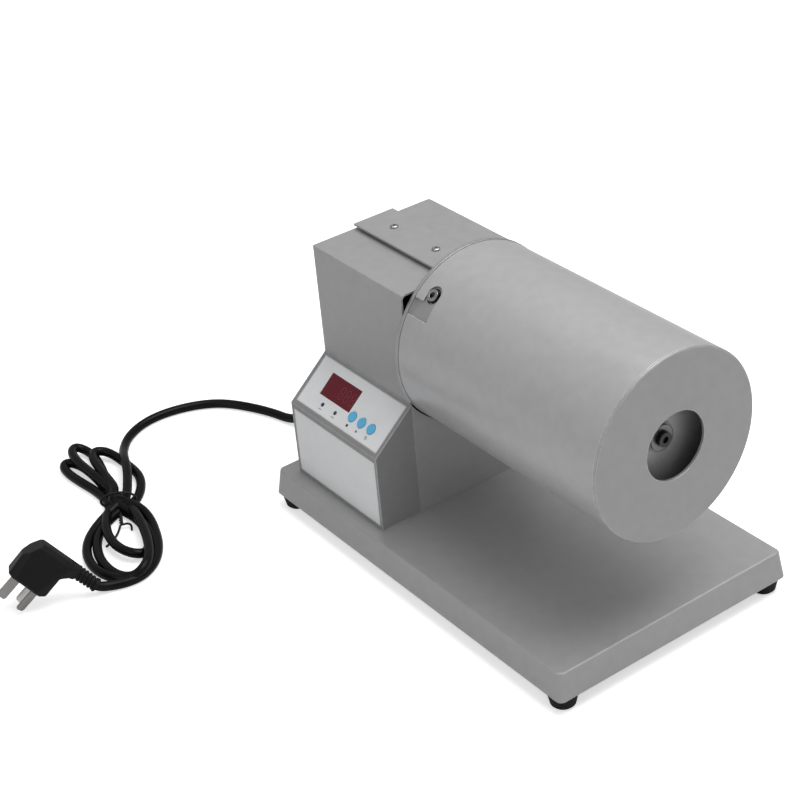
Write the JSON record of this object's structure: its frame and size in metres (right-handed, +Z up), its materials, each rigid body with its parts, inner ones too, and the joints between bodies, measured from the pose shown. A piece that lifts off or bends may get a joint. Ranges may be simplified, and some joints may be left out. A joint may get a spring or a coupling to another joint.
{
  "type": "laboratory broken rice separator",
  "caption": "Benchtop grain separator: an indented drum on a bayonet drive flange, with a collecting trough inside, driven by a geared motor in a sheet metal housing.",
  "frame": {"origin": "on the bench, under the middle of the base pan", "axes": "+X along the drum axis from the drive housing to the drum's free end, +Z up; the control panel faces -Y"},
  "size_m": [0.4905, 0.4113, 0.22],
  "materials": {
    "base_paint": "satin",
    "housing_paint": "satin",
    "box_paint": "satin",
    "drum_paint": "satin",
    "drum_end_paint": "satin",
    "flange_alloy": "turned",
    "panel_film": "matt",
    "display_red": "gloss",
    "display_case": "matt",
    "board_green": "satin",
    "light_lens": "clear",
    "button_blue": "gloss",
    "foot_rubber": "matt",
    "gasket_rubber": "matt",
    "screw_steel": "zinc plated",
    "plate_zinc": "zinc plated",
    "shaft_steel": "ground",
    "bearing_steel": "ground",
    "gear_steel": "machined",
    "trough_steel": "rolled",
    "sleeve_steel": "pressed",
    "cast_alloy": "cast",
    "brass_bare": "machined",
    "motor_black": "satin",
    "cord_black": "matt",
    "plug_black": "satin",
    "tie_black": "satin",
    "blade_brass": "nickel plated"
  },
  "bodies": {
    "frame": {"base_pan": "base_paint", "rubber_feet": "foot_rubber", "foot_screws": "screw_steel", "front_housing": "housing_paint", "rear_cover": "housing_paint", "cover_gasket": "gasket_rubber", "cover_screws": "screw_steel", "housing_screws": "screw_steel", "control_box": "box_paint", "panel_plate": "panel_film", "front_plate": "panel_film", "display_window": "display_red", "display_module": "display_case", "control_board": "board_green", "indicator_lights": "light_lens", "board_standoffs": "brass_bare", "button_switches": "display_case", "drive_plate": "plate_zinc", "plate_screws": "screw_steel", "bearing_housing": "cast_alloy", "housing_bolts": "screw_steel", "bearing_outer_rings": "bearing_steel", "motor_gearbox": "cast_alloy", "motor_can": "motor_black", "motor_screws": "screw_steel", "shaft_support": "plate_zinc", "support_screws": "screw_steel", "trough_shaft": "shaft_steel", "shaft_washer": "shaft_steel", "trough_screw": "screw_steel", "cord_gland": "plug_black", "gland_nut": "plug_black", "power_cord": "cord_black", "cord_hank": "cord_black", "cord_tail": "cord_black", "cord_tie": "tie_black", "mains_plug": "plug_black", "plug_pins": "blade_brass"},
    "drive": {"bearing_inner_rings": "bearing_steel", "hollow_spindle": "shaft_steel", "spindle_bush": "brass_bare", "drive_flange": "flange_alloy", "flange_screws": "screw_steel", "bayonet_screws": "screw_steel", "driven_gear": "gear_steel"},
    "drum": {"drum_shell": "drum_paint", "drum_end_plate": "drum_end_paint", "indented_sleeve": "sleeve_steel"},
    "motor_pinion": {"pinion_gear": "gear_steel", "motor_shaft": "shaft_steel"},
    "trough_body": {"trough": "trough_steel"},
    "stop_key": {"stop_button": "button_blue"},
    "start_key": {"start_button": "button_blue"},
    "timer_key": {"timer_button": "button_blue"}
  },
  "joints": [
    {"name": "drum_spin", "type": "hinge", "parent": "frame", "child": "drive", "pos_m": [0, 0.0035, 0.1545], "axis": [1, 0, 0], "continuous": true},
    {"name": "bayonet_turn", "type": "hinge", "parent": "drive", "child": "drum", "pos_m": [0, 0.0035, 0.1545], "axis": [-1, 0, 0], "range_deg": [0, 10.7]},
    {"name": "pinion_spin", "type": "hinge", "parent": "frame", "child": "motor_pinion", "pos_m": [0, 0.0035, 0.10075], "axis": [1, 0, 0], "continuous": true},
    {"name": "trough_tilt", "type": "hinge", "parent": "frame", "child": "trough_body", "pos_m": [0, 0.0035, 0.1545], "axis": [1, 0, 0], "range_deg": [-60, 60]},
    {"name": "stop_press", "type": "slide", "parent": "frame", "child": "stop_key", "axis": [0, 0.6574, -0.7536], "range_m": [0, 0.0006], "stiffness_N_per_m": 1500, "springref_m": -0.0004},
    {"name": "start_press", "type": "slide", "parent": "frame", "child": "start_key", "axis": [0, 0.6574, -0.7536], "range_m": [0, 0.0006], "stiffness_N_per_m": 1500, "springref_m": -0.0004},
    {"name": "timer_press", "type": "slide", "parent": "frame", "child": "timer_key", "axis": [0, 0.6574, -0.7536], "range_m": [0, 0.0006], "stiffness_N_per_m": 1500, "springref_m": -0.0004}
  ],
  "couplings": [
    {"joint": "pinion_spin", "follows": "drum_spin", "ratio": -3.7778}
  ]
}
